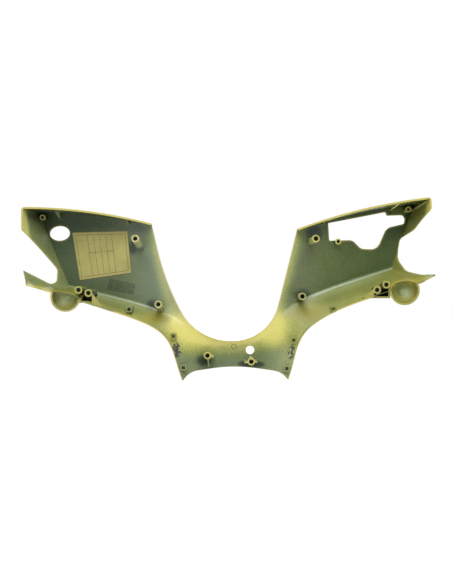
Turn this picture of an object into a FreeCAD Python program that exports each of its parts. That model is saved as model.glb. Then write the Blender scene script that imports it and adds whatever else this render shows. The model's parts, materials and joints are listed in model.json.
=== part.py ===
"""Inner half of a moulded scooter handlebar cover, with a paper label stuck inside its left wing.

Millimetres. The origin is the middle of the fixing hole in the bridge. X runs to the right and Z up
as the cover is seen from inside. Y runs from the open side to the painted side.
"""
import FreeCAD
import Part
import math
import os
from collections import namedtuple

Vector = FreeCAD.Vector
Section = namedtuple("Section", "top fold low")

# Shell: the net of points below is its painted side
wall = 2.2
rim_y = -22.0
lip = 0.5
fold_round = 9.0
bridge_round = 17.0
top_margin = 14.0
reach = 150.0

# How deep pieces on the open side and pieces on the painted side root in the wall, as a share of it
inner_root = 0.3
outer_root = 0.7

# Depth of the skin at the outer end, the middle and the inner edge of a wing
panel_y = (28.0, 6.0, -16.0)
fold_y = (20.0, 7.5, -5.0)

# Top edges: outer corner, inner corner, rise of the arc between them and rounding of the outer corner
left_top_outer = (-275.5, 173.5)
left_top_inner = (-120.0, 154.0)
right_top_outer = (217.0, 185.5)
right_top_inner = (56.5, 147.5)
top_bow = 5.2
corner_round = 4.5

# Wing sections from the outer end to the inner edge: top, fold and lower edge
left_tops = [left_top_outer, (-184.0, 166.0), (-92.0, 149.0)]
left_folds = [(-227.0, 75.0), (-159.5, 60.0), (-92.0, 45.0)]
left_lows = [(-243.0, 71.5), (-170.0, 49.2), (-117.0, 33.0)]
right_tops = [right_top_outer, (130.0, 170.0), (42.0, 148.0)]
right_folds = [(179.0, 98.0), (110.5, 77.5), (42.0, 57.0)]
right_lows = [(205.0, 82.0), (125.0, 60.0), (80.0, 38.0)]

# End walls: points along the rim from the top edge to the finger under the notch
left_end = [(-275.5, 188.0), (-275.5, 140.0), (-274.0, 100.0), (-269.0, 79.0)]
right_end = [(217.0, 200.0), (217.5, 150.0), (220.0, 112.0), (221.0, 90.5)]

# Bridge sections from left to right: top, fold and lower edge
bridge = [
    Section(Vector(-70, -34, 136), Vector(-70, 0, 22), Vector(-92, -22, 9)),
    Section(Vector(-48, -48, 124), Vector(-48, 3.5, 4), Vector(-82, -18, -58)),
    Section(Vector(-25, -56, 118), Vector(-25, 7, -3), Vector(-20, -4, -90)),
    Section(Vector(0, -48, 124), Vector(2, 3.5, 6), Vector(47, -18, -58)),
    Section(Vector(22, -34, 136), Vector(24, 0, 28), Vector(53.5, -22, 14)),
]

# Gap between the wings and arch under the bridge
gap_height = 260.0
gap_left_splay = 13.0
gap_right_splay = 13.7
gap_waist = (-105.3, 89.2, 300.0)
gap_left_foot = (-67.0, 11.0, 70.0)
gap_right_foot = (23.7, 11.0, 57.0)
arch_depth = -120.0
arch_left_tip = (-90.0, -45.0, 0.0)
arch_left = (-73.0, -25.0, 22.0)
arch_crown = (-18.0, -19.0, 250.0)
arch_right = (38.0, -25.0, 22.0)
arch_right_tip = (55.0, -47.0, 0.0)

# Openings through the skin
fixing_hole_radius = 5.2
mirror_hole = (-239.2, 145.4)
mirror_hole_half_width = 13.4
mirror_hole_half_height = 9.2
tank_opening = [
    (95.8, 156.0, 1.0), (170.5, 171.8, 1.0), (172.5, 167.4, 1.5), (198.5, 169.0, 5.5), (195.0, 157.5, 5.0),
    (172.0, 152.0, 12.0), (159.5, 124.8, 12.5), (138.5, 125.2, 11.0), (127.5, 136.0, 11.0), (97.5, 134.6, 2.0),
]
left_notch = [(-310, 156, 0), (-275, 146.5, 5), (-240.5, 99.5, 12), (-239.5, 77.6, 5), (-310, 119.6, 0)]
right_notch = [
    (260, 176, 0), (216.8, 171.5, 4), (203.5, 148, 14), (190, 138, 10), (185.5, 112, 22), (193, 97, 8),
    (207, 92.4, 10), (260, 93.4, 0),
]

# Screw bosses: place of the mouth and lean; the foot runs to the skin
boss_radius = 4.4
boss_bore = 2.2
boss_bore_depth = 18.0
left_lean = 9.0
right_lean = 1.0
upper_mouth_y = -52.0
inner_mouth_y = -32.0
bridge_mouth_y = -30.0
upper_bosses = ((-134.5, 133.3, left_lean), (74.3, 133.2, 0.0))
inner_bosses = ((-109.9, 57.0, left_lean), (60.9, 66.3, right_lean))
bridge_bosses = ((-51.6, -3.9, left_lean), (0.5, -11.3, right_lean))

# Twin bosses over a pocket in each lower wall
twin_radius = 4.6
twin_mouth_y = -23.0
twin_bore_depth = 7.0
left_twins = ((-206.5, 74.0), (-194.6, 70.3))
right_twins = ((151.6, 74.0), (162.6, 80.3))
pocket_back_y = 8.0
left_pocket = (-203.5, -189.8, 60.7, 71.5)
right_pocket = (147.5, 165.5, 66.2, 76.3)

# Pips: place, and depth of the mouth
pip_radius = 3.6
pip_bore = 1.4
pip_bore_depth = 8.0
pips = ((-258.6, 164.5, 10.0), (198.1, 174.5, 10.0), (107.8, 133.3, -6.0))

# Half-round bowls on the lower edge, each turned in straight steps
bowl_steps = 3
bowl_radius = 18.2
left_bowl = (-222.3, 66.0)
right_bowl = (184.6, 73.9)

# Ribs, gussets and catches
rib = 1.8
gussets = (
    ((-274.0, 172.0), (-264.0, 157.5), -19.0),
    ((-239.5, 172.5), (-238.5, 159.0), -8.0),
    ((-150.0, 158.5), (-147.5, 144.0), -20.0),
    ((90.0, 157.5), (87.0, 145.5), -18.0),
    ((179.5, 178.0), (176.5, 172.5), -16.0),
    ((213.0, 180.5), (203.0, 172.0), -19.0),
)
boss_ribs = (
    ((-51.6, -3.9), (-50.0, -17.5)),
    ((-51.6, -3.9), (-44.2, -5.6)),
    ((0.5, -11.3), (-7.6, -12.8)),
    ((0.5, -11.3), (7.3, -11.6)),
)
left_tie = [(-190.4, 70.3, 0), (-190.4, 55.0, 0), (-176.0, 51.8, 0)]
right_tie = [(148.0, 75.3, 0), (148.0, 64.5, 0), (133.6, 64.5, 0)]
catch_size = 7.0
catch_slot = 4.0
catch_depth = 6.0
catches = (
    (-145.8, 50.8, -23.0), (98.8, 50.5, -24.0), (-92.5, 18.5, -25.0),
    (-80.5, -18.9, -25.0), (51.5, 13.8, -25.0), (43.0, -20.0, -25.0),
)

# Paper label on the left panel
label_thickness = 0.25
label_glue = 0.2
label_outline = [(-222.3, 145.9, 0), (-150.8, 146.2, 0), (-146.5, 95.3, 0), (-212.9, 86.4, 0)]


def blend(a, b, share):
    return a + (b - a) * share


def toward(a, b, distance):
    """Point at a distance from a on the way to b, never past half way."""
    way = b - a
    return a + way * min(0.5, distance / max(way.Length, 0.001))


def at(xz, y):
    return Vector(xz[0], y, xz[1])


def arc_circle(first, second, bow):
    """Middle and radius of the circle that rises by bow over the chord of two points."""
    run = second[0] - first[0]
    climb = second[1] - first[1]
    chord = math.hypot(run, climb)
    radius = chord ** 2 / (8 * bow) + bow / 2
    drop = radius - bow
    across = 1 if run > 0 else -1
    middle_x = (first[0] + second[0]) / 2 + across * climb / chord * drop
    middle_z = (first[1] + second[1]) / 2 - across * run / chord * drop
    return middle_x, middle_z, radius


def box(x0, x1, y0, y1, z0, z1):
    return Part.makeBox(x1 - x0, y1 - y0, z1 - z0, Vector(x0, y0, z0))


def rounded_corner(here, back, ahead, radius):
    """Start, crest and end of the arc that rounds one corner of an outline."""
    half = back.getAngle(ahead) / 2
    run = radius / math.tan(half)
    inward = (back + ahead).normalize()
    crest = here + inward * (radius / math.sin(half) - radius)
    return here + back * run, crest, here + ahead * run


def prism(corners, y0, y1):
    """Solid along Y over a closed outline of corners (x, z, radius)."""
    spots = [at(corner, y0) for corner in corners]
    turns = []
    for i, corner in enumerate(corners):
        here = spots[i]
        if corner[2] == 0:
            turns.append((here, None, here))
            continue
        back = (spots[i - 1] - here).normalize()
        ahead = (spots[(i + 1) % len(spots)] - here).normalize()
        turns.append(rounded_corner(here, back, ahead, corner[2]))
    edges = []
    for i, (start, crest, stop) in enumerate(turns):
        if crest is not None:
            edges.append(Part.Arc(start, crest, stop).toShape())
        following = turns[(i + 1) % len(turns)][0]
        if (following - stop).Length > 1e-4:
            edges.append(Part.makeLine(stop, following))
    face = Part.Face(Part.Wire(Part.__sortEdges__(edges)))
    return face.extrude(Vector(0, y1 - y0, 0))


def section_poles(section, fold_size):
    """Poles down one section: the rows beside the fold set how tightly it turns."""
    top, fold, low = section
    middle = blend(top, fold, 0.5)
    return [top, middle, toward(fold, middle, fold_size), fold, toward(fold, low, fold_size), low]


def end_poles(points):
    top, middle, fold, low = [at(point, rim_y) for point in points]
    return [top, middle, toward(fold, middle, fold_round), fold, toward(fold, low, fold_round), low]


def wing_poles(end, tops, folds, lows):
    """Columns of poles from the rim of the end wall to the inner edge of a wing."""
    columns = [end_poles(end)]
    for top, fold, low, y, y_fold in zip(tops, folds, lows, panel_y, fold_y):
        high = (top[0], top[1] + top_margin)
        columns.append(section_poles(Section(at(high, y), at(fold, y_fold), at(low, rim_y)), fold_round))
    return columns


def skin_net():
    left = wing_poles(left_end, left_tops, left_folds, left_lows)
    right = wing_poles(right_end, right_tops, right_folds, right_lows)
    middle = [section_poles(section, bridge_round) for section in bridge]
    return left + middle + right[::-1]


def net_normal(net, i, j):
    """Normal of the net at one pole, and how far the facets around it lean from that."""
    facets = []
    here = net[i][j]
    for di, dj in ((1, 1), (-1, 1), (-1, -1), (1, -1)):
        if 0 <= i + di < len(net) and 0 <= j + dj < len(net[0]):
            side = (net[i + di][j] - here).cross(net[i][j + dj] - here) * (di * dj)
            facets.append(side.normalize())
    total = Vector()
    for facet in facets:
        total = total + facet
    total.normalize()
    lean = sum(total.dot(facet) for facet in facets) / len(facets)
    return total, max(lean, 0.5)


def offset_net(net, distance):
    """The net moved along its normals, so that the skin between keeps its thickness."""
    moved = []
    for i in range(len(net)):
        column = []
        for j in range(len(net[0])):
            normal, lean = net_normal(net, i, j)
            column.append(net[i][j] + normal * (distance / lean))
        moved.append(column)
    return moved


def knots(count, degree):
    spans = count - degree
    ends = [degree + 1]
    return [float(k) for k in range(spans + 1)], ends + [1] * (spans - 1) + ends


def net_surface(net):
    """Smooth surface over columns of poles; two columns make a ruled one."""
    degree = min(3, len(net) - 1)
    u_knots, u_mults = knots(len(net), degree)
    v_knots, v_mults = knots(len(net[0]), 3)
    surface = Part.BSplineSurface()
    surface.buildFromPolesMultsKnots(net, u_mults, v_mults, u_knots, v_knots, False, False, degree, 3)
    return surface


def skin_parts(net):
    """End wall, main skin and end wall, which meet in a crease at each end of the cover."""
    return [net_surface(net[:2]), net_surface(net[1:-1]), net_surface(net[-2:])]


def thick_sheet(outer, inner):
    """Solid between two rows of surfaces that run side by side."""
    faces = [surface.toShape() for surface in outer + inner]
    pairs = []
    for a, b in zip(outer, inner):
        for v in a.bounds()[2:]:
            pairs.append((a.vIso(v), b.vIso(v)))
    first = outer[0].bounds()[0]
    last = outer[-1].bounds()[1]
    pairs.append((outer[0].uIso(first), inner[0].uIso(first)))
    pairs.append((outer[-1].uIso(last), inner[-1].uIso(last)))
    for a, b in pairs:
        faces.append(Part.makeRuledSurface(a.toShape(), b.toShape()))
    shell = Part.makeShell(faces)
    shell.sewShape()
    solid = Part.Solid(shell)
    if solid.Volume < 0:
        solid.reverse()
    return solid


def extended(net):
    """The net with each end drawn out past the end of the cover."""
    more = 40.0
    first = [a + (a - b).normalize() * more for a, b in zip(net[0], net[1])]
    last = [a + (a - b).normalize() * more for a, b in zip(net[-1], net[-2])]
    return [first] + net + [last]


def in_front(net, depth):
    """All the space on the open side of the skin, from a depth under its painted side."""
    return net_surface(extended(offset_net(net, -depth)[1:-1])).toShape().extrude(Vector(0, -reach, 0))


def top_tools(outer, inner):
    """Cutter above one top edge with its rounded outer corner, and the rim wall under that edge."""
    x, z, radius = arc_circle(outer, inner, top_bow)
    low_x = min(outer[0], inner[0])
    wide = abs(outer[0] - inner[0])
    base_z = 120.0
    tall = 120.0
    round_outer = Part.makeCylinder(radius, 2 * reach, Vector(x, -reach, z), Vector(0, 1, 0))
    round_inner = Part.makeCylinder(radius - wall, 2 * reach, Vector(x, -reach, z), Vector(0, 1, 0))
    sky = Part.makeBox(wide + 60, 2 * reach, tall, Vector(low_x - 30, -reach, base_z))
    band = Part.makeBox(wide, 60, tall, Vector(low_x, rim_y, base_z))
    inward = 1 if inner[0] > outer[0] else -1
    middle = Vector(outer[0] + inward * corner_round, -reach, outer[1] - corner_round)
    bit_x = min(middle.x, middle.x - inward * 30)
    bit = Part.makeBox(30, 2 * reach, 30, Vector(bit_x, -reach, middle.z))
    bit = bit.cut(Part.makeCylinder(corner_round, 2 * reach, middle, Vector(0, 1, 0)))
    return sky.cut(round_outer), bit, band.common(round_outer).cut(round_inner)


def gap_outline():
    left_run = math.tan(math.radians(gap_left_splay)) * (gap_height - left_top_inner[1])
    right_run = math.tan(math.radians(gap_right_splay)) * (gap_height - right_top_inner[1])
    left = (left_top_inner[0] - left_run, gap_height, 0)
    right = (right_top_inner[0] + right_run, gap_height, 0)
    return [left, gap_waist, gap_left_foot, gap_right_foot, right]


def arch_outline():
    left = (arch_left_tip[0], arch_depth, 0)
    right = (arch_right_tip[0], arch_depth, 0)
    return [left, arch_left_tip, arch_left, arch_crown, arch_right, arch_right_tip, right]


def mirror_cutter():
    middle = at(mirror_hole, -reach)
    edge = Part.Ellipse(middle, mirror_hole_half_width, mirror_hole_half_height).toShape()
    edge.rotate(middle, Vector(1, 0, 0), 90)
    return Part.Face(Part.Wire(edge)).extrude(Vector(0, 2 * reach, 0))


def lean_axis(lean):
    angle = math.radians(lean)
    return Vector(0, math.cos(angle), -math.sin(angle))


def boss(x, y, z, lean, radius):
    """Round post from its mouth to the middle of the wall behind it."""
    return Part.makeCylinder(radius, reach / 2, Vector(x, y, z), lean_axis(lean)).common(inside)


def bore(x, y, z, lean, radius, depth):
    axis = lean_axis(lean)
    return Part.makeCylinder(radius, depth + 1, Vector(x, y, z) - axis, axis)


def dish(spot, radius):
    """Round dish that deepens from the rim in straight steps."""
    middle = at(spot, rim_y - lip)
    corners = [middle]
    for i in range(bowl_steps + 1):
        angle = math.pi / 2 * i / bowl_steps
        corners.append(middle + Vector(radius * math.cos(angle), radius * math.sin(angle), 0))
    face = Part.Face(Part.makePolygon(corners + corners[:1]))
    return face.revolve(middle, Vector(0, 1, 0), 360)


def bowl(spot):
    """Half-round bowl hung under the lower wall, still full."""
    return dish(spot, bowl_radius).cut(within)


def bowl_hollow(spot):
    """Cutter that hollows a bowl and opens it to the tray."""
    radius = bowl_radius - wall
    mouth = Part.makeCylinder(radius, 2 * wall, at(spot, rim_y - lip - 2 * wall), Vector(0, 1, 0))
    return dish(spot, radius).fuse(mouth)


def pocket(place):
    """Cutter for a deep pocket and the housing that closes it behind the wall."""
    x0, x1, z0, z1 = place
    hollow = box(x0, x1, rim_y - 1, pocket_back_y, z0, z1)
    case = box(x0 - wall, x1 + wall, rim_y + lip, pocket_back_y + wall, z0 - wall, z1 + wall)
    return hollow, case.cut(hollow).cut(within)


def flange(outline):
    """Flat piece of wall that stands a lip proud of the rim."""
    return prism(outline, rim_y - lip, rim_y - lip + wall)


def plate(corners, thickness):
    """Flat plate over a closed row of points."""
    face = Part.Face(Part.makePolygon(corners + corners[:1]))
    normal = face.normalAt(0, 0)
    face.translate(normal * (-thickness / 2))
    return face.extrude(normal * thickness)


def gusset(high, low, y_high):
    """Three-cornered rib from the top wall down to the panel."""
    deep = panel_y[0] + 4
    return plate([at(high, y_high), at(high, deep), at(low, deep)], rib).common(inside)


def boss_rib(start, stop, y):
    """Upright rib from a boss out along the skin."""
    return plate([at(start, y), at(stop, y), at(stop, reach), at(start, reach)], rib).common(inside)


def catch(x, z, y):
    """Square block on the skin with a slot in its face."""
    half = catch_size / 2
    side = catch_slot / 2
    block = box(x - half, x + half, y, reach, z - half, z + half).common(inside)
    return block.cut(box(x - side, x + side, y - 1, y + catch_depth, z - side, z + side))


def skin_point(skin, spot):
    """Where the line along Y through a spot meets the skin."""
    hit = Part.Line(at(spot, -reach), at(spot, reach)).intersect(skin)[0][0]
    return Vector(hit.X, hit.Y, hit.Z)


def label_side(depth):
    """Patch over the label and a little round it, at a depth under the painted side."""
    skin = net_surface(offset_net(net, -depth)[1:-1])
    high_left, high_right, low_right, low_left = [at(corner, 0) for corner in label_outline]
    grid = []
    for across in (-0.1, 0.3, 0.7, 1.1):
        high = blend(high_left, high_right, across)
        low = blend(low_left, low_right, across)
        spots = [blend(high, low, down) for down in (-0.1, 0.5, 1.1)]
        grid.append([skin_point(skin, (spot.x, spot.z)) for spot in spots])
    patch = Part.BSplineSurface()
    patch.interpolate(grid)
    return patch


# Skin
net = skin_net()
inner_net = offset_net(net, -wall)
inside = in_front(net, wall * inner_root)
within = in_front(net, wall * outer_root)
cover = thick_sheet(skin_parts(net), skin_parts(inner_net))

# Openings
cuts = [mirror_cutter()]
cuts.append(Part.makeCylinder(fixing_hole_radius, 2 * reach, Vector(0, -reach, 0), Vector(0, 1, 0)))
for outline in (gap_outline(), arch_outline(), tank_opening, left_notch, right_notch):
    cuts.append(prism(outline, -reach, reach))
walls = []
for outer, inner in ((left_top_outer, left_top_inner), (right_top_outer, right_top_inner)):
    sky, corner_bit, band = top_tools(outer, inner)
    cuts += [sky, corner_bit]
    walls.append(band.common(inside).cut(corner_bit))
for place in (left_pocket, right_pocket):
    hollow, housing = pocket(place)
    cuts.append(hollow)
    walls.append(housing)
cover = cover.cut(cuts)

# Top walls, pocket housings and bowls
cover = cover.fuse(walls)
cover = cover.fuse([bowl(left_bowl), bowl(right_bowl)])
cover = cover.cut([bowl_hollow(left_bowl), bowl_hollow(right_bowl)])

# Ties, gussets, ribs and catches
ribs = [flange(outline) for outline in (left_tie, right_tie)]
ribs += [gusset(*place) for place in gussets]
ribs += [boss_rib(start, stop, bridge_mouth_y) for start, stop in boss_ribs]
ribs += [catch(x, z, y) for x, z, y in catches]
cover = cover.fuse(ribs)

# Bosses and pips
bosses = []
bores = []
for row, y in ((upper_bosses, upper_mouth_y), (inner_bosses, inner_mouth_y), (bridge_bosses, bridge_mouth_y)):
    for x, z, lean in row:
        bosses.append(boss(x, y, z, lean, boss_radius))
        bores.append(bore(x, y, z, lean, boss_bore, boss_bore_depth))
for x, z in left_twins + right_twins:
    bosses.append(boss(x, twin_mouth_y, z, 0, twin_radius))
    bores.append(bore(x, twin_mouth_y, z, 0, boss_bore, twin_bore_depth))
for x, z, y in pips:
    bosses.append(boss(x, y, z, 0, pip_radius))
    bores.append(bore(x, y, z, 0, pip_bore, pip_bore_depth))
cover = cover.fuse(bosses)
cover = cover.cut(bores)

# Label
label_back = label_side(wall + label_glue)
label_face = label_side(wall + label_glue + label_thickness)
label = thick_sheet([label_back], [label_face]).common(prism(label_outline, -reach, reach))

os.makedirs("parts", exist_ok=True)
cover.exportStep("parts/handlebar_cover.step")
label.exportStep("parts/paper_label.step")
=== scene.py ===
"""Dresses a moulded scooter handlebar cover, seen from its open side, and its paper label."""

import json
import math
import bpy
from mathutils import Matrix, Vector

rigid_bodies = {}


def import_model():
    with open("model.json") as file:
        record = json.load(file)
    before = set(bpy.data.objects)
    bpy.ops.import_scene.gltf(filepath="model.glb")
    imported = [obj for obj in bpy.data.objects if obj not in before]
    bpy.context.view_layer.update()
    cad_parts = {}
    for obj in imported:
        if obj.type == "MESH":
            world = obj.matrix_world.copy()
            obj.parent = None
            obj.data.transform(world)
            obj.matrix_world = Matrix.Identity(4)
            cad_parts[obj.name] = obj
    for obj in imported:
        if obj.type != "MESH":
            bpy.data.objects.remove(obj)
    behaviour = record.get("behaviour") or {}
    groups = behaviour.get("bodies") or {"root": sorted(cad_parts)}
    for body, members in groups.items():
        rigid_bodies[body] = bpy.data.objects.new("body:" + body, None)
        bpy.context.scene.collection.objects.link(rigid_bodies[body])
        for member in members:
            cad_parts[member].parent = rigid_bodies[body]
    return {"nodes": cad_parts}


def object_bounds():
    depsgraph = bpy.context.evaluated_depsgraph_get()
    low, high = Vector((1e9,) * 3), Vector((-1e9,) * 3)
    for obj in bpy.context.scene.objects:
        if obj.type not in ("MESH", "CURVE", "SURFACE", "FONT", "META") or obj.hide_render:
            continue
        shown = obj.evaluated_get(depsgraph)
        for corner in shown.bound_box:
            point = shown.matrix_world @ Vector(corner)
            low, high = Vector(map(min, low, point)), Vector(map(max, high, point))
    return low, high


bl_info = {
    "name": "Handlebar cover",
    "version": (1, 0, 0),
    "blender": (4, 5, 0),
    "location": "3D View > Sidebar > Cover",
    "description": "Finishes of a moulded handlebar cover, its paper label and a plain studio around them",
    "category": "Object",
}

import bpy
from mathutils import Vector

for start_up_object in list(bpy.data.objects):
    bpy.data.objects.remove(start_up_object)
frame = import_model()
cad_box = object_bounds()

# Oval patches in millimetres: middle x and z, half width and half height
WORN_PATCHES = ((-89.0, 1.5, 4.5, 9.5), (49.2, -1.5, 3.0, 8.5))
# Dark patches round the bosses, in the top-left corner and in the left bowl: partly spray shadows, partly
# painted shade
SPRAY_AND_PAINTED_SHADE_PATCHES = (
    (-57.0, -12.0, 10.0, 8.0), (-8.0, -17.0, 8.0, 4.0), (10.0, -17.0, 9.0, 4.0), (65.0, 66.0, 10.0, 10.0),
    (-144.0, 126.0, 8.0, 10.0), (78.0, 142.0, 10.0, 10.0), (-120.0, 55.0, 9.0, 8.0),
    (-259.0, 166.0, 12.0, 8.0), (-237.0, 63.0, 5.0, 8.0),
)
GUSSET_FACES = (
    (-239.0, 165.8, 6.0, 9.0), (-148.7, 151.2, 6.0, 10.0), (88.5, 151.5, 6.0, 8.0), (178.0, 175.2, 6.0, 5.0),
)
YELLOW_PATCHES = (
    (-84.0, 34.0, 14.0, 10.0), (42.0, 41.0, 30.0, 18.0), (27.0, 18.0, 18.0, 16.0), (63.0, 46.0, 22.0, 13.0),
)
GOLDEN_PATCHES = ((-116.0, 39.0, 20.0, 9.0), (74.0, 46.0, 30.0, 16.0), (196.0, 84.0, 22.0, 5.0))
PALE_CORNER = (188.0, 172.0, 14.0, 9.0)
BOWLS = ((-222.3, 66.0, 17.0, 17.0), (184.6, 73.9, 17.0, 17.0))
# Painted highlights in the bowls: pale spots that stand in for the light the bowls catch
BOWL_PAINTED_HIGHLIGHTS = ((-227.0, 60.5, 5.0, 6.0), (190.0, 70.5, 7.0, 8.0))

# Where an oval mask starts and where it is full, in shares of its half sizes
SOFT = (1.3, 0.1)
SHARP = (1.1, 0.9)
RAGGED = (1.05, 0.85)

# Rectangles, given as the ovals are
# Pockets, which are filled with near-black painted shade
POCKETS = ((-196.65, 66.1, 7.05, 5.6), (156.5, 71.25, 9.2, 5.25))

# A hatched rectangle whose x and z are turned by some degrees, and the steps of its hatching
INSERT = (-170.8, 47.4, 17.0, 7.0)
INSERT_TURN = -10.5
HATCH_ROW = 2.4
HATCH_DASH = 3.0

# Rings: x and z of the middle, and the radius
EJECTOR_MARKS = ((-20.0, 4.2, 3.0),)

# Levels: z of the bowls' tops, y of the pockets' floors and y of the rim
BOWL_TOPS = (73.5, 84.5)
POCKET_FLOOR_Y = 8.0
RIM_Y = -22.0

# Round bosses: x and z of the middle, outer radius, bore radius and y of the mouth
SCREW_BOSSES = (
    (-134.5, 133.3, 4.4, 2.2, -52.0), (74.3, 133.2, 4.4, 2.2, -52.0), (-109.9, 57.0, 4.4, 2.2, -32.0),
    (60.9, 66.3, 4.4, 2.2, -32.0), (-51.6, -3.9, 4.4, 2.2, -30.0), (0.5, -11.3, 4.4, 2.2, -30.0),
)
TWINS_AND_PIPS = (
    (-206.5, 74.0, 4.6, 2.2, -23.0), (-194.6, 70.3, 4.6, 2.2, -23.0), (151.6, 74.0, 4.6, 2.2, -23.0),
    (162.6, 80.3, 4.6, 2.2, -23.0), (-258.6, 164.5, 3.6, 1.4, 10.0), (198.1, 174.5, 3.6, 1.4, 10.0),
    (107.8, 133.3, 3.6, 1.4, -6.0),
)
BOSSES = SCREW_BOSSES + TWINS_AND_PIPS
BOSS_FOOT = 9.0

# The gap between the wings as two leaning lines and a floor: x and z of a point, and the lean in degrees
GAP_LEFT = (-105.3, 89.2, 12.5)
GAP_RIGHT = (42.2, 89.2, 13.7)
GAP_FLOOR = 11.0
GAP_ROUND = 75.0

# Leaning lines: x and z of a left point and of a right one
LEFT_FOLD = (-193.0, 70.0, -114.0, 49.6)
RIGHT_FOLD = (70.0, 63.0, 175.8, 100.4)
LEFT_FINGER = (-268.5, 78.5, -240.7, 71.3)

# Middles in x
WINGS_MIDDLE = -25.0
ENDS_MIDDLE = -28.0
BRIDGE_MIDDLE = -19.0
FOLDS_MIDDLE = -20.0

# The place in front of the wings that the open side looks at, which follows a point's x most of the way
OPEN_FOLLOW = -0.2
OPEN_X = -5.0
OPEN_Y = -60.0
OPEN_Z = 105.0

# Paint mist before its local changes, from 0 on bare plastic to 1 where it is thick
PANEL_MIST = 0.1
WALL_MIST = 0.38
BRIDGE_MIST = 0.25
END_MIST = 0.32
CEILING_MIST = 0.42
BOWL_MIST = 0.2
GUSSET_MIST = 0.85
FRONT_MIST = 0.5
HAZE_FULL = 0.55

# How far an edge's paint reaches, in metres
EDGE_REACH = 0.004

# Corners of the paper label, round its outline from the upper left one
LABEL_CORNERS = ((-222.3, 145.9), (-150.8, 146.2), (-146.5, 95.3), (-212.9, 86.4))

# Ruled lines of the label in shares of its height, and where the head line stops in shares of its width
CROSS_RULE = 0.44
HEAD_RULE = 0.17
HEAD_END = 0.7

# Lamps in metres: name, place, width of the square and the setting with its power
LAMPS = (
    ("top_lamp", (0.0, -0.85, 1.1), 1.2, "top"),
    ("back_lamp", (0.2, 1.3, 0.9), 1.0, "back"),
    ("left_lamp", (-1.1, 0.1, 0.5), 0.5, "side"),
    ("right_lamp", (1.1, 0.1, 0.5), 0.5, "side"),
)

# Floor: half its width in metres, its colour, and how strongly it glows for the rays that see it
FLOOR_HALF = 6.0
FLOOR_GREY = (0.82, 0.82, 0.82, 1.0)
FLOOR_GLOW = 1.06
SEEN_SHARE = 0.93
MIRRORED_SHARE = 0.5
WHITE = (1.0, 1.0, 1.0, 1.0)

# Camera: width of the film in millimetres, nearest and farthest sight in metres
FILM_WIDTH = 36.0
NEAREST = 0.05
FARTHEST = 50.0


def linear(red, green, blue):
    """Colour of a shader socket from the 0 to 255 values that a screen shows."""
    shares = []
    for value in (red, green, blue):
        share = value / 255
        shares.append(share / 12.92 if share <= 0.04045 else ((share + 0.055) / 1.055) ** 2.4)
    return tuple(shares)


class Wire:
    """One shader socket, which takes part in sums as a number does."""

    def __init__(self, shader, socket):
        self.shader = shader
        self.socket = socket

    def __add__(self, other):
        return self.shader.maths("ADD", self, other)

    def __radd__(self, other):
        return self.shader.maths("ADD", other, self)

    def __sub__(self, other):
        return self.shader.maths("SUBTRACT", self, other)

    def __rsub__(self, other):
        return self.shader.maths("SUBTRACT", other, self)

    def __mul__(self, other):
        return self.shader.maths("MULTIPLY", self, other)

    def __rmul__(self, other):
        return self.shader.maths("MULTIPLY", other, self)

    def __truediv__(self, other):
        return self.shader.maths("DIVIDE", self, other)

    def __rtruediv__(self, other):
        return self.shader.maths("DIVIDE", other, self)

    def __pow__(self, other):
        return self.shader.maths("POWER", self, other)

    def __abs__(self):
        return self.shader.maths("ABSOLUTE", self)


class Shader:
    """Node tree of one material or of the world, written as expressions."""

    def __init__(self, owner):
        owner.use_nodes = True
        self.tree = owner.node_tree
        self.tree.nodes.clear()

    def node(self, kind, settings=None, sockets=None, out=0):
        """Adds a node, sets it up, joins its sockets and gives one of its outputs, where it has any."""
        made = self.tree.nodes.new(kind)
        for name, value in (settings or {}).items():
            setattr(made, name, value)
        for name, value in (sockets or {}).items():
            if isinstance(value, Wire):
                self.tree.links.new(value.socket, made.inputs[name])
            else:
                made.inputs[name].default_value = value
        return Wire(self, made.outputs[out]) if made.outputs else None

    def maths(self, operation, *values):
        """Result of one Math node."""
        return self.node("ShaderNodeMath", {"operation": operation}, dict(enumerate(values)))

    def ramp(self, value, start, stop):
        """Smooth rise from 0 to 1 as a value goes from start to stop."""
        settings = {"interpolation_type": "SMOOTHSTEP", "clamp": True}
        sockets = {"Value": value, "From Min": start, "From Max": stop}
        return self.node("ShaderNodeMapRange", settings, sockets)

    def mix(self, share, first, second):
        """Colour part of the way from a first one to a second."""
        sockets = {0: share, 6: colour_value(first), 7: colour_value(second)}
        return self.node("ShaderNodeMix", {"data_type": "RGBA", "clamp_factor": True}, sockets, out=2)

    def noise(self, place, scale, detail=2.0, roughness=0.5):
        """Soft random clouds between 0 and 1."""
        sockets = {"Vector": place, "Scale": scale, "Detail": detail, "Roughness": roughness}
        return self.node("ShaderNodeTexNoise", {"noise_dimensions": "3D"}, sockets)

    def parts(self, vector):
        """The three parts of a vector."""
        return [self.node("ShaderNodeSeparateXYZ", None, {"Vector": vector}, out=i) for i in range(3)]

    def place(self):
        """Own coordinates of the piece, and their three parts in millimetres."""
        own = self.node("ShaderNodeTexCoord", out="Object")
        return own, [part * 1000.0 for part in self.parts(own)]

    def normal(self):
        """The three parts of the direction that the surface faces."""
        return self.parts(self.node("ShaderNodeTexCoord", out="Normal"))

    def bump(self, height, strength, distance):
        """Normal of a surface with a fine relief."""
        sockets = {"Height": height, "Strength": strength, "Distance": distance}
        return self.node("ShaderNodeBump", None, sockets)

    def surface(self, sockets):
        """Principled surface as the material's output."""
        body = self.node("ShaderNodeBsdfPrincipled", None, sockets)
        self.node("ShaderNodeOutputMaterial", None, {"Surface": body})


def colour_value(colour):
    """A socket's four numbers from a colour's three, or a link as it is."""
    if isinstance(colour, Wire):
        return colour
    return (colour[0], colour[1], colour[2], 1.0)


def new_material(name):
    """Fresh material in the place of one of the same name."""
    old = bpy.data.materials.get(name)
    if old is not None:
        old.name = name + ".cad"
    return bpy.data.materials.new(name)


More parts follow.
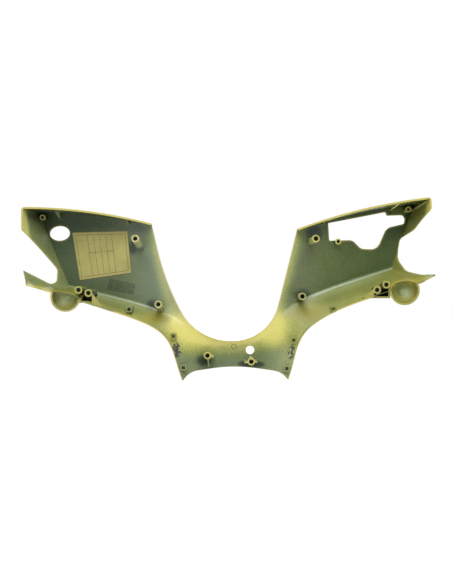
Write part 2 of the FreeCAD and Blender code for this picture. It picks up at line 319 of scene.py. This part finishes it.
def give_material(obj, material):
    """Makes a material the only one of an object."""
    obj.data.materials.clear()
    obj.data.materials.append(material)


def total(values):
    """Sum of several masks."""
    values = list(values)
    result = values[0]
    for value in values[1:]:
        result = result + value
    return result


def blend(value, target, share):
    """A value moved part of the way to another."""
    return value + (target - value) * share


def spot(shader, x, z, place, fall=SOFT):
    """1 in the middle of an oval patch and 0 beyond it."""
    middle_x, middle_z, half_x, half_z = place
    across = (x - middle_x) / half_x
    up = (z - middle_z) / half_z
    return shader.ramp((across * across + up * up) ** 0.5, *fall)


def block(shader, x, z, place):
    """1 inside an upright rectangle, 0 outside it."""
    middle_x, middle_z, half_x, half_z = place
    beyond = shader.maths("MAXIMUM", abs(x - middle_x) - half_x, abs(z - middle_z) - half_z)
    return shader.ramp(beyond, 0.2, -0.2)


def reach_from(x, z, middle_x, middle_z):
    """Distance in millimetres from an axis that runs along y."""
    return ((x - middle_x) * (x - middle_x) + (z - middle_z) * (z - middle_z)) ** 0.5


def drop_below(x, z, line):
    """How far a point lies below a leaning line, in millimetres."""
    start_x, start_z, stop_x, stop_z = line
    run = math.hypot(stop_x - start_x, stop_z - start_z)
    return (x - start_x) * ((stop_z - start_z) / run) - (z - start_z) * ((stop_x - start_x) / run)


def gap_distance(shader, x, z):
    """How far a point lies from the edge of the gap between the wings, in millimetres."""
    left_x, left_z, lean = GAP_LEFT
    turn = math.radians(lean)
    left = (left_x - x) * math.cos(turn) - (z - left_z) * math.sin(turn)
    right_x, right_z, lean = GAP_RIGHT
    turn = math.radians(lean)
    right = (x - right_x) * math.cos(turn) - (z - right_z) * math.sin(turn)
    sides = shader.maths("MAXIMUM", left, right)
    return shader.maths("SMOOTH_MAX", sides, GAP_FLOOR - z, GAP_ROUND)


class CoverPlaces:
    """Place and facing of the shaded point, and masks that are 1 on one area of the cover and 0 off it."""

    def __init__(self, shader):
        self.shader = shader
        self.own, (self.x, self.y, self.z) = shader.place()
        self.nx, self.ny, self.nz = shader.normal()
        self.edge = gap_distance(shader, self.x, self.z)
        self.clouds = shader.noise(self.own, scale=26.0, detail=3.0) - 0.5
        self.mark_sides()
        self.mark_areas()

    def spots(self, places, fall=SOFT):
        """Sum of several oval patches."""
        return total(spot(self.shader, self.x, self.z, place, fall) for place in places)

    def from_middle(self, middle):
        """Distance in x from a middle."""
        return abs(self.x - middle)

    def mark_sides(self):
        """Tells the open side of the wall, with the bosses' posts, from the painted one."""
        ramp = self.shader.ramp
        toward = self.nx * (self.x * OPEN_FOLLOW + OPEN_X) + self.ny * (OPEN_Y - self.y)
        toward = toward + self.nz * (OPEN_Z - self.z)
        feet = [(boss[0], boss[1], BOSS_FOOT, BOSS_FOOT) for boss in SCREW_BOSSES]
        self.bosses = self.spots(feet, SHARP)
        self.posts = self.bosses * ramp(self.y, -9.0, -14.0)
        self.inside = self.shader.maths("MAXIMUM", ramp(toward, -3.0, 3.0), self.posts)
        self.ahead = ramp(self.ny, -0.85, -0.96)

    def mark_areas(self):
        """Marks the left half, low walls, bridge and its flanks, ends, panels, bowls, and dark patches that
        are partly spray shadows and partly painted shade.
        """
        ramp = self.shader.ramp
        self.left = ramp(self.x, 10.0, -50.0)
        self.low = ramp(self.nz, 0.25, 0.7)
        self.bridge = ramp(self.z, 54.0, 24.0) * ramp(self.from_middle(WINGS_MIDDLE), 110.0, 85.0)
        self.flanks = ramp(self.from_middle(BRIDGE_MIDDLE), 26.0, 62.0)
        self.end = ramp(abs(self.nx), 0.3, 0.7) * ramp(self.from_middle(ENDS_MIDDLE), 185.0, 205.0)
        self.panels = (1.0 - self.low) * (1.0 - self.bridge) * (1.0 - self.end)
        self.bowls = total(
            self.spots([place], SHARP) * ramp(self.z, top + 1.0, top - 0.5)
            for place, top in zip(BOWLS, BOWL_TOPS))
        self.spray_and_painted_shade = self.spots(SPRAY_AND_PAINTED_SHADE_PATCHES)


def panel_mist(at):
    """Mist on the deep panels: thickest beside the gap and thinnest far left, with a painted shadow of the
    top wall taking it away high up.
    """
    ramp = at.shader.ramp
    wide_band = ramp(at.edge, 130.0, 8.0) * (0.16 + at.left * 0.04)
    narrow_band = ramp(at.edge, 16.0, 0.0) * 0.4
    far_left = ramp(at.x, -170.0, -215.0) * 0.04
    top_wall_painted_shadow = ramp(at.z, 118.0, 158.0) * 0.12
    return PANEL_MIST + wide_band + narrow_band - far_left - top_wall_painted_shadow


def wall_mist(at):
    """Mist on the lower walls: thicker near the gap, at the right end and toward the rim."""
    ramp = at.shader.ramp
    near_gap = ramp(at.edge, 70.0, 10.0) * 0.13
    right_end = ramp(at.x, 198.0, 212.0) * 0.3
    near_rim = ramp(at.y, -8.0, -22.0) * 0.16
    return WALL_MIST + near_gap + right_end + near_rim


def bridge_mist(at):
    """Mist on the bridge: thicker along the gap and on the flanks."""
    along_gap = at.shader.ramp(at.edge, 28.0, 2.0) * 0.48
    return BRIDGE_MIST + along_gap + at.flanks * (0.32 - at.left * 0.14)


def end_mist(at):
    """Mist on the end walls: thicker toward the rim in their upper half."""
    near_rim = at.shader.ramp(at.y, -8.0, -20.0) * at.shader.ramp(at.z, 96.0, 112.0)
    return END_MIST + at.left * 0.13 + near_rim * 0.7


def mist_amount(at):
    """Paint mist on the open side, with clouds, speckle, and dark patches round the bosses, in a top corner
    and in a bowl, which are partly spray shadows and partly painted shade.
    """
    ramp = at.shader.ramp
    mist = blend(panel_mist(at), wall_mist(at), at.low)
    mist = blend(mist, bridge_mist(at), at.bridge)
    mist = blend(mist, end_mist(at), at.end)
    # The underside of the top wall gets far less mist on the left half: painted shade
    mist = blend(mist, CEILING_MIST - at.left * 0.36, ramp(at.nz, -0.3, -0.6))
    gap_lip = at.bridge * ramp(at.edge, 9.0, 0.0)
    mist = mist + at.spots(YELLOW_PATCHES) * 0.15 + gap_lip * 0.4 + at.spots([PALE_CORNER]) * 0.3
    mist = blend(mist, BOWL_MIST, at.bowls)
    mist = blend(mist, GUSSET_MIST, at.spots(GUSSET_FACES, SHARP) * ramp(abs(at.nx), 0.3, 0.5))
    mist = blend(mist, FRONT_MIST, ramp(at.y, RIM_Y - 0.6, RIM_Y - 1.0)) + at.posts * 0.2
    speckle = at.shader.noise(at.own, scale=800.0, roughness=0.7) - 0.5
    # The dark patches take mist away: partly spray shadows, partly painted shade
    return mist + at.clouds * 0.22 + speckle * 0.6 - at.spray_and_painted_shade * 0.52


def golden_amount(at):
    """Thicker golden mist low on the walls, on the right end and in the bowls."""
    ramp = at.shader.ramp
    walls = at.low * (0.2 + ramp(at.x, 150.0, 190.0) * 0.15)
    right_end = at.end * ramp(at.x, 0.0, 100.0)
    return at.spots(GOLDEN_PATCHES) * 0.85 + walls + right_end * 0.3 + at.bowls * 0.3


def moss_amount(at):
    """Greener plastic on the right panel and far left, away from the gap."""
    ramp = at.shader.ramp
    halves = (1.0 - at.left) * 0.3 + ramp(at.x, -150.0, -205.0) * 0.3
    return halves * ramp(at.edge, 10.0, 60.0) * at.panels


def dust_and_sheen_amount(at):
    """Grey lightening, partly dust and partly painted sheen, on the panels beside the gap, low on the bridge
    and in soft drifts, thin in the dark patches.
    """
    ramp = at.shader.ramp
    drift = ramp(at.shader.noise(at.own, scale=14.0, detail=4.0), 0.45, 0.75)
    beside = ramp(at.edge, 60.0, 12.0) * (1.0 - at.low) * (1.0 - at.bridge)
    under = at.bridge * ramp(at.edge, 10.0, 26.0) * ramp(at.z, 16.0, -6.0)
    dust_and_sheen = drift * 0.03 + beside * (0.09 + at.left * 0.15) + under * (0.18 + at.flanks * 0.1)
    dust_and_sheen = dust_and_sheen + at.left * (at.end * 0.15 + at.panels * 0.1)
    return dust_and_sheen * (1.0 - at.shader.maths("MINIMUM", at.spray_and_painted_shade, 1.0) * 0.8)


def band_below(at, line):
    """1 in a soft band a few millimetres below a leaning line."""
    drop = drop_below(at.x, at.z, line)
    return at.shader.ramp(drop, -0.5, 1.0) * at.shader.ramp(drop, 9.0, 1.5)


def fold_masks(at):
    """The bent strip in the folds of the wings, which also sets the coat, and the softer band below them;
    both carry a painted highlight.
    """
    ramp = at.shader.ramp
    wings = ramp(at.from_middle(WINGS_MIDDLE), 88.0, 108.0) * (1.0 - at.bowls) * (1.0 - at.end) * at.inside
    strip = ramp(at.nz, 0.04, 0.25) * ramp(at.nz, 0.66, 0.48) * ramp(at.y, -15.0, -9.0)
    band = blend(band_below(at, RIGHT_FOLD), band_below(at, LEFT_FOLD), at.left)
    return strip * wings, band * wings * ramp(at.from_middle(FOLDS_MIDDLE), 200.0, 170.0)


def insert_hatching(at):
    """Broken rows of fine hatching on the face of a moulding insert."""
    shader = at.shader
    turn = math.radians(INSERT_TURN)
    along = at.x * math.cos(turn) + at.z * math.sin(turn)
    up = at.z * math.cos(turn) - at.x * math.sin(turn)
    rows = shader.maths("PINGPONG", up / HATCH_ROW, 0.5)
    dashes = shader.maths("PINGPONG", along / HATCH_DASH + shader.noise(at.own, scale=300.0) * 1.5, 0.5)
    broken = shader.ramp(rows, 0.1, 0.22) * shader.ramp(dashes, 0.06, 0.18)
    return block(shader, along, up, INSERT) * broken * at.inside


def ejector_rings(at):
    """Rings that ejector pins left on the open side."""
    rings = []
    for x, z, radius in EJECTOR_MARKS:
        rings.append(at.shader.ramp(abs(reach_from(at.x, at.z, x, z) - radius), 0.7, 0.2))
    return total(rings) * at.inside


def boss_masks(at):
    """The outer rings of the bosses' mouths, and the painted shade in and close round their bores."""
    ramp = at.shader.ramp
    mouths = []
    bore_painted_shade = []
    for x, z, radius, bore, depth in BOSSES:
        reach = reach_from(at.x, at.z, x, z)
        front = ramp(at.y, depth + 3.0, depth + 2.0)
        ring = ramp(reach, radius + 0.6, radius + 0.3) * ramp(reach, bore + 0.3, bore + 0.9)
        mouths.append(ring * front)
        bore_painted_shade.append(ramp(reach, bore + 0.9, bore + 0.4) * front)
    return total(mouths) * at.ahead, total(bore_painted_shade) * at.ahead


def corner_mask(at):
    """1 on edges that stand out, where a rounded normal leaves the flat one and nothing is close by."""
    shader = at.shader
    rounded = shader.node("ShaderNodeBevel", {"samples": 6}, {"Radius": EDGE_REACH})
    flat = shader.node("ShaderNodeNewGeometry", out="Normal")
    pair = {0: rounded, 1: flat}
    level = shader.node("ShaderNodeVectorMath", {"operation": "DOT_PRODUCT"}, pair, out="Value")
    free = shader.node("ShaderNodeAmbientOcclusion", {"samples": 4}, {"Distance": EDGE_REACH}, out="AO")
    corner = shader.ramp(level, 0.995, 0.88) * shader.ramp(free, 0.84, 0.96)
    return corner * shader.ramp(at.y, -21.5, -19.0) * (1.0 - at.bosses)


def edge_amount(at, mouths):
    """Paint on the edges, the rim, the bosses' mouths and the left finger, thin round the arch."""
    ramp = at.shader.ramp
    arch = ramp(at.z, 60.0, 40.0) * ramp(at.from_middle(WINGS_MIDDLE), 130.0, 115.0)
    arch = arch * ramp(at.edge, 8.0, 20.0)
    corner = corner_mask(at) * (1.0 - arch * 0.8)
    rim = ramp(at.y, RIM_Y + 0.9, RIM_Y + 0.3) * ramp(at.y, RIM_Y - 0.95, RIM_Y - 0.7)
    rim = rim * ramp(at.ny, -0.7, -0.95) * (1.0 - arch * 0.7)
    high = ramp(at.z, 100.0, 130.0)
    finger = ramp(drop_below(at.x, at.z, LEFT_FINGER), -3.6, -2.4) * ramp(at.x, -236.0, -242.0)
    finger = finger * ramp(at.z, 90.0, 84.0) * at.inside
    return corner * 0.5 + rim * (0.5 + high * 0.35) + mouths * 0.5 + finger * 0.55


def pocket_painted_shade(at):
    """1 inside the pockets, from a little behind their mouths to their floors, where near-black painted
    shade goes.
    """
    ramp = at.shader.ramp
    depth = ramp(at.y, -21.0, -17.0) * ramp(at.y, POCKET_FLOOR_Y + 1.0, POCKET_FLOOR_Y + 0.5)
    return total(block(at.shader, at.x, at.z, place) for place in POCKETS) * depth


def worn_mask(at):
    """Ragged scuffed patches beside the bridge."""
    shader = at.shader
    scuffs = shader.ramp(shader.noise(at.own, scale=420.0, detail=4.0, roughness=0.7), 0.3, 0.52)
    jagged = shader.noise(at.own, scale=260.0, detail=3.0, roughness=0.6) * 24.0 - 12.0
    x = at.x + jagged
    z = at.z + jagged * 0.6
    patches = total(spot(shader, x, z, place, RAGGED) for place in WORN_PATCHES)
    return patches * at.inside * (0.55 + scuffs * 0.45)


class CoverFinish(bpy.types.PropertyGroup):
    """Colours and gloss of the moulded cover."""

    plastic: bpy.props.FloatVectorProperty(
        name="Bare plastic", description="Unpainted plastic in the deep panels", subtype="COLOR",
        size=3, min=0.0, max=1.0, default=linear(40, 50, 29))
    haze: bpy.props.FloatVectorProperty(
        name="Haze", description="Thin paint mist over the plastic", subtype="COLOR",
        size=3, min=0.0, max=1.0, default=linear(122, 133, 70))
    overspray: bpy.props.FloatVectorProperty(
        name="Overspray", description="Paint mist that settled on the open side", subtype="COLOR",
        size=3, min=0.0, max=1.0, default=linear(208, 200, 112))
    paint: bpy.props.FloatVectorProperty(
        name="Paint", description="Gloss paint of the outer side", subtype="COLOR",
        size=3, min=0.0, max=1.0, default=linear(206, 186, 74))
    faded: bpy.props.FloatVectorProperty(
        name="Faded paint", description="Grime and fading on the outer side", subtype="COLOR",
        size=3, min=0.0, max=1.0, default=linear(168, 148, 58))
    worn_edge: bpy.props.FloatVectorProperty(
        name="Edges", description="Paint on the edges and the rim", subtype="COLOR",
        size=3, min=0.0, max=1.0, default=linear(198, 186, 96))
    # Grey lightening: partly dust, partly painted sheen
    dust_and_sheen: bpy.props.FloatVectorProperty(
        name="Dust", description="Grey bloom on the open side", subtype="COLOR",
        size=3, min=0.0, max=1.0, default=linear(130, 147, 140))
    # Painted highlight: a pale colour along the folds and in spots in the bowls that stands in for the light
    # they catch
    painted_highlight: bpy.props.FloatVectorProperty(
        name="Fold sheen", description="Pale mist along the folds of the wings", subtype="COLOR",
        size=3, min=0.0, max=1.0, default=linear(172, 188, 150))
    moss: bpy.props.FloatVectorProperty(
        name="Moss", description="Greener plastic of the right panel and the far left", subtype="COLOR",
        size=3, min=0.0, max=1.0, default=linear(66, 92, 30))
    gold: bpy.props.FloatVectorProperty(
        name="Golden mist", description="Thick mist low on the walls and in the bowls", subtype="COLOR",
        size=3, min=0.0, max=1.0, default=linear(142, 136, 50))
    scuff: bpy.props.FloatVectorProperty(
        name="Scuffs", description="Rough worn patches beside the bridge", subtype="COLOR",
        size=3, min=0.0, max=1.0, default=linear(54, 57, 58))
    # Near-black of the moulding marks, also used as painted shade in the pockets and round the bores
    black_marks_and_shade: bpy.props.FloatVectorProperty(
        name="Black", description="Bare plastic in the pockets, the bores and the moulding marks",
        subtype="COLOR", size=3, min=0.0, max=1.0, default=linear(14, 15, 13))
    roughness: bpy.props.FloatProperty(
        name="Inside roughness", description="Roughness of the open side", subtype="FACTOR",
        min=0.0, max=1.0, default=0.3)
    gloss: bpy.props.FloatProperty(
        name="Paint roughness", description="Roughness of the painted side", subtype="FACTOR",
        min=0.0, max=1.0, default=0.2)
    grain: bpy.props.FloatProperty(
        name="Grain", description="Height of the moulded grain", unit="LENGTH", min=0.0, default=0.00004)


class LabelFinish(bpy.types.PropertyGroup):
    """Paper and ruling of the label."""

    paper: bpy.props.FloatVectorProperty(
        name="Paper", description="Aged paper", subtype="COLOR", size=3, min=0.0, max=1.0,
        default=linear(172, 164, 98))
    stain: bpy.props.FloatVectorProperty(
        name="Stain", description="Darker mist on the paper", subtype="COLOR", size=3, min=0.0, max=1.0,
        default=linear(148, 138, 78))
    ink: bpy.props.FloatVectorProperty(
        name="Ink", description="Ruled lines", subtype="COLOR", size=3, min=0.0, max=1.0,
        default=linear(84, 78, 52))
    inset: bpy.props.FloatProperty(
        name="Border inset", description="Border line from the edge, in millimetres", min=0.0, default=3.2)
    columns: bpy.props.IntProperty(
        name="Columns", description="Columns between the ruled lines", min=1, default=4)
    first_rule: bpy.props.FloatProperty(
        name="First rule", description="Where the ruling starts across the label", subtype="FACTOR",
        min=0.0, max=1.0, default=0.26)
    last_rule: bpy.props.FloatProperty(
        name="Last rule", description="Where the ruling ends across the label", subtype="FACTOR",
        min=0.0, max=1.0, default=0.71)


class StageSetup(bpy.types.PropertyGroup):
    """Floor, light and camera."""

    floor_drop: bpy.props.FloatProperty(
        name="Floor drop", description="Floor under the lowest point of the cover", unit="LENGTH",
        default=0.0005)
    top: bpy.props.FloatProperty(
        name="Top light", description="Power of the soft lamp over the camera in watts", min=0.0,
        default=23.0)
    back: bpy.props.FloatProperty(
        name="Back light", description="Power of the lamp behind in watts", min=0.0, default=14.0)
    side: bpy.props.FloatProperty(
        name="Side light", description="Power of each side lamp in watts", min=0.0, default=2.0)
    ambient: bpy.props.FloatProperty(
        name="Ambient", description="Strength of the white room", min=0.0, default=0.18)
    eye: bpy.props.FloatVectorProperty(
        name="Camera place", description="Where the camera stands", subtype="TRANSLATION", unit="LENGTH",
        size=3, default=(-0.0296, -0.822, 0.0715))
    lens: bpy.props.FloatProperty(
        name="Lens", description="Focal length for a 36 mm film", min=1.0, default=41.1)


class COVER_OT_finish(bpy.types.Operator):
    """Gives the cover its bare plastic, its overspray and its painted side"""

    bl_idname = "cover.finish"
    bl_label = "Finish the cover"

    def execute(self, context):
        look = context.scene.cover_finish
        material = new_material("painted_plastic")
        shader = Shader(material)
        at = CoverPlaces(shader)
        mist = mist_amount(at)
        golden = golden_amount(at)
        fold, band = fold_masks(at)
        # Painted highlights in the bowls
        bowl_painted_highlights = at.spots(BOWL_PAINTED_HIGHLIGHTS) * at.bowls * (0.5 - at.left * 0.3)
        hatching = insert_hatching(at)
        rings = ejector_rings(at)
        mouths, bore_painted_shade = boss_masks(at)
        worn = worn_mask(at)
        grime = shader.ramp(shader.noise(at.own, scale=34.0, detail=5.0, roughness=0.62), 0.46, 0.78)

        # Layers over the hazy plastic, from the lowest up: the share that shows, and the colour
        layers = (
            (shader.ramp(mist, 0.42, 1.0), look.overspray),
            (golden, look.gold),
            (moss_amount(at), look.moss),
            # Grey lightening, partly dust and partly painted sheen
            (dust_and_sheen_amount(at), look.dust_and_sheen),
            # Painted highlights along the folds and in the bowls
            (fold * 0.35 + band * 0.18 + bowl_painted_highlights, look.painted_highlight),
            (hatching * 0.7 + rings * 0.55, look.black_marks_and_shade),
            (1.0 - at.inside, self.outer_paint(at, look, grime)),
            (edge_amount(at, mouths), look.worn_edge),
            # Near-black painted shade in and round the bores
            (bore_painted_shade * 0.9, look.black_marks_and_shade),
            (worn, look.scuff),
            # Near-black painted shade in the pockets
            (pocket_painted_shade(at) * 0.95, look.black_marks_and_shade),
        )
        colour = shader.mix(mist / HAZE_FULL, look.plastic, look.haze)
        for share, tint in layers:
            colour = shader.mix(share, colour, tint)

        # Gloss and grain
        matt = look.roughness + at.clouds * 0.1 + worn * 0.35 + golden * 0.25 + at.bowls * 0.25
        gloss = matt * at.inside + (1.0 - at.inside) * (look.gloss + grime * 0.2)
        grain = shader.noise(at.own, scale=700.0, detail=3.0, roughness=0.6) * (at.inside * 0.8 + 0.2)
        height = grain + (rings + hatching) * 1.5 + worn * 2.0
        shader.surface({
            "Base Color": colour,
            "Roughness": gloss,
            "Normal": shader.bump(height, 0.6, look.grain),
            "Coat Weight": (1.0 - at.inside) * 0.6 + fold * 0.35,
            "Coat Roughness": 0.14,
            "IOR": 1.5,
        })
        give_material(frame["nodes"]["handlebar_cover"], material)
        return {"FINISHED"}

    def outer_paint(self, at, look, grime):
        """Gloss paint of the outer side, with grime, clouds and specks."""
        specks = at.shader.ramp(at.shader.noise(at.own, scale=620.0), 0.68, 0.76)
        return at.shader.mix(grime * 0.3 + at.clouds * 0.25 + specks * 0.3, look.paint, look.faded)


class COVER_OT_label(bpy.types.Operator):
    """Gives the paper label its aged paper and an empty ruled form"""

    bl_idname = "cover.label"
    bl_label = "Finish the label"

    def execute(self, context):
        look = context.scene.label_finish
        material = new_material("label_paper")
        shader = Shader(material)
        own, (x, _, z) = shader.place()
        outline = zip(LABEL_CORNERS, LABEL_CORNERS[1:] + LABEL_CORNERS[:1])
        edges = [drop_below(x, z, (*start, *stop)) for start, stop in outline]
        top, right, low, left = edges
        upright = shader.maths("MINIMUM", top, low)
        nearest = shader.maths("MINIMUM", upright, shader.maths("MINIMUM", left, right))
        ink = self.ruled_form(shader, look, edges, nearest)
        ink = ink * shader.ramp(shader.noise(own, scale=300.0, detail=3.0), 0.25, 0.5)
        fibre = shader.noise(own, scale=900.0, detail=4.0, roughness=0.65)
        stain = shader.ramp(shader.noise(own, scale=45.0, detail=4.0, roughness=0.6), 0.35, 0.7)
        paper = shader.mix(stain * 0.55 + (fibre - 0.5) * 0.5, look.paper, look.stain)
        paper = shader.mix(shader.ramp(nearest, 1.2, 0.0) * 0.4, paper, look.stain)
        shader.surface({
            "Base Color": shader.mix(ink * 0.75, paper, look.ink),
            "Roughness": 0.62 + (fibre - 0.5) * 0.2,
            "Normal": shader.bump(fibre, 0.4, 0.0001),
        })
        give_material(frame["nodes"]["paper_label"], material)
        return {"FINISHED"}

    def ruled_form(self, shader, look, edges, nearest):
        """1 on the border, the columns, the line across them and the faint head line."""
        top, right, low, left = edges
        across = left / (left + right)
        down = top / (top + low)
        border = shader.ramp(abs(nearest - look.inset), 0.55, 0.2)
        field = shader.ramp(nearest, look.inset, look.inset + 0.4)
        form = field * shader.ramp(across, look.first_rule - 0.012, look.first_rule - 0.01)
        form = form * shader.ramp(across, look.last_rule + 0.012, look.last_rule + 0.01)
        step = (look.last_rule - look.first_rule) / look.columns
        column = shader.maths("PINGPONG", (across - look.first_rule) / step, 0.5)
        rules = shader.ramp(column, 0.075, 0.03) * form
        cross = shader.ramp(abs(down - CROSS_RULE), 0.011, 0.005) * form
        head = shader.ramp(abs(down - HEAD_RULE), 0.009, 0.004) * field
        head = head * shader.ramp(across, HEAD_END + 0.02, HEAD_END)
        return shader.maths("MINIMUM", border + rules * 0.85 + cross * 0.8 + head * 0.4, 1.0)


class COVER_OT_stage(bpy.types.Operator):
    """Builds the pale floor, the soft lamps, the white room and the camera"""

    bl_idname = "cover.stage"
    bl_label = "Set the stage"

    def execute(self, context):
        scene = context.scene
        setup = scene.stage_setup
        scene.view_settings.view_transform = "Standard"
        self.add_floor(scene, setup)
        middle = (Vector(cad_box[0]) + Vector(cad_box[1])) / 2
        for name, place, size, power in LAMPS:
            self.add_lamp(scene, name, place, middle, size, getattr(setup, power))
        self.light_room(scene, setup)
        self.add_camera(scene, setup)
        return {"FINISHED"}

    def add_floor(self, scene, setup):
        """Wide pale floor that looks white to the camera and stays a soft reflector for the lamps."""
        level = cad_box[0][2] - setup.floor_drop
        half = FLOOR_HALF
        mesh = bpy.data.meshes.new("studio_floor")
        corners = [(-half, -half, level), (half, -half, level), (half, half, level), (-half, half, level)]
        mesh.from_pydata(corners, [], [(0, 1, 2, 3)])
        floor = bpy.data.objects.new("studio_floor", mesh)
        scene.collection.objects.link(floor)
        material = bpy.data.materials.new("studio_floor")
        shader = Shader(material)
        paper = shader.node("ShaderNodeBsdfDiffuse", None, {"Color": FLOOR_GREY})
        white = shader.node("ShaderNodeEmission", None, {"Color": WHITE, "Strength": FLOOR_GLOW})
        share = self.seen_rays(shader) * SEEN_SHARE
        joined = shader.node("ShaderNodeMixShader", None, {0: share, 1: paper, 2: white})
        shader.node("ShaderNodeOutputMaterial", None, {"Surface": joined})
        mesh.materials.append(material)

    def seen_rays(self, shader):
        """1 for rays from the camera or through a clear piece, and less for those in a reflection."""
        seen = shader.node("ShaderNodeLightPath", out="Is Camera Ray")
        mirrored = shader.node("ShaderNodeLightPath", out="Is Glossy Ray")
        through = shader.node("ShaderNodeLightPath", out="Is Transmission Ray")
        return shader.maths("MAXIMUM", shader.maths("MAXIMUM", seen, mirrored * MIRRORED_SHARE), through)

    def light_room(self, scene, setup):
        """Room that looks white and gives a dim even light."""
        world = bpy.data.worlds.new("white_room")
        scene.world = world
        shader = Shader(world)
        room = shader.node("ShaderNodeBackground", None, {"Color": WHITE, "Strength": setup.ambient})
        white = shader.node("ShaderNodeBackground", None, {"Color": WHITE, "Strength": 1.0})
        seen = shader.node("ShaderNodeLightPath", out="Is Camera Ray")
        joined = shader.node("ShaderNodeMixShader", None, {0: seen, 1: room, 2: white})
        shader.node("ShaderNodeOutputWorld", None, {"Surface": joined})

    def add_lamp(self, scene, name, place, target, size, power):
        """Square soft lamp that faces a target."""
        lamp = bpy.data.lights.new(name, "AREA")
        lamp.shape = "SQUARE"
        lamp.size = size
        lamp.energy = power
        holder = bpy.data.objects.new(name, lamp)
        holder.location = place
        holder.rotation_euler = (target - Vector(place)).to_track_quat("-Z", "Y").to_euler()
        scene.collection.objects.link(holder)

    def add_camera(self, scene, setup):
        """Level camera that looks along +Y."""
        camera = bpy.data.cameras.new("photo_camera")
        camera.sensor_width = FILM_WIDTH
        camera.lens = setup.lens
        camera.clip_start = NEAREST
        camera.clip_end = FARTHEST
        holder = bpy.data.objects.new("photo_camera", camera)
        holder.location = setup.eye
        holder.rotation_euler = (math.radians(90.0), 0.0, 0.0)
        scene.collection.objects.link(holder)
        scene.camera = holder


class COVER_PT_panel(bpy.types.Panel):
    """Lists the finishes and the steps that apply them"""

    bl_idname = "COVER_PT_panel"
    bl_label = "Handlebar cover"
    bl_space_type = "VIEW_3D"
    bl_region_type = "UI"
    bl_category = "Cover"

    def draw(self, context):
        scene = context.scene
        for group in (scene.cover_finish, scene.label_finish, scene.stage_setup):
            column = self.layout.column()
            for name in group.bl_rna.properties.keys():
                if name not in ("rna_type", "name"):
                    column.prop(group, name)
        for step in STEPS:
            self.layout.operator(step.bl_idname)


GROUPS = {"cover_finish": CoverFinish, "label_finish": LabelFinish, "stage_setup": StageSetup}
STEPS = (COVER_OT_finish, COVER_OT_label, COVER_OT_stage)


def register():
    for kind in (*GROUPS.values(), *STEPS, COVER_PT_panel):
        bpy.utils.register_class(kind)
    for name, group in GROUPS.items():
        setattr(bpy.types.Scene, name, bpy.props.PointerProperty(type=group))


def unregister():
    for name in GROUPS:
        delattr(bpy.types.Scene, name)
    for kind in (COVER_PT_panel, *reversed(STEPS), *reversed(GROUPS.values())):
        bpy.utils.unregister_class(kind)


def main():
    register()
    bpy.ops.cover.finish()
    bpy.ops.cover.label()
    bpy.ops.cover.stage()


if __name__ == "__main__":
    main()
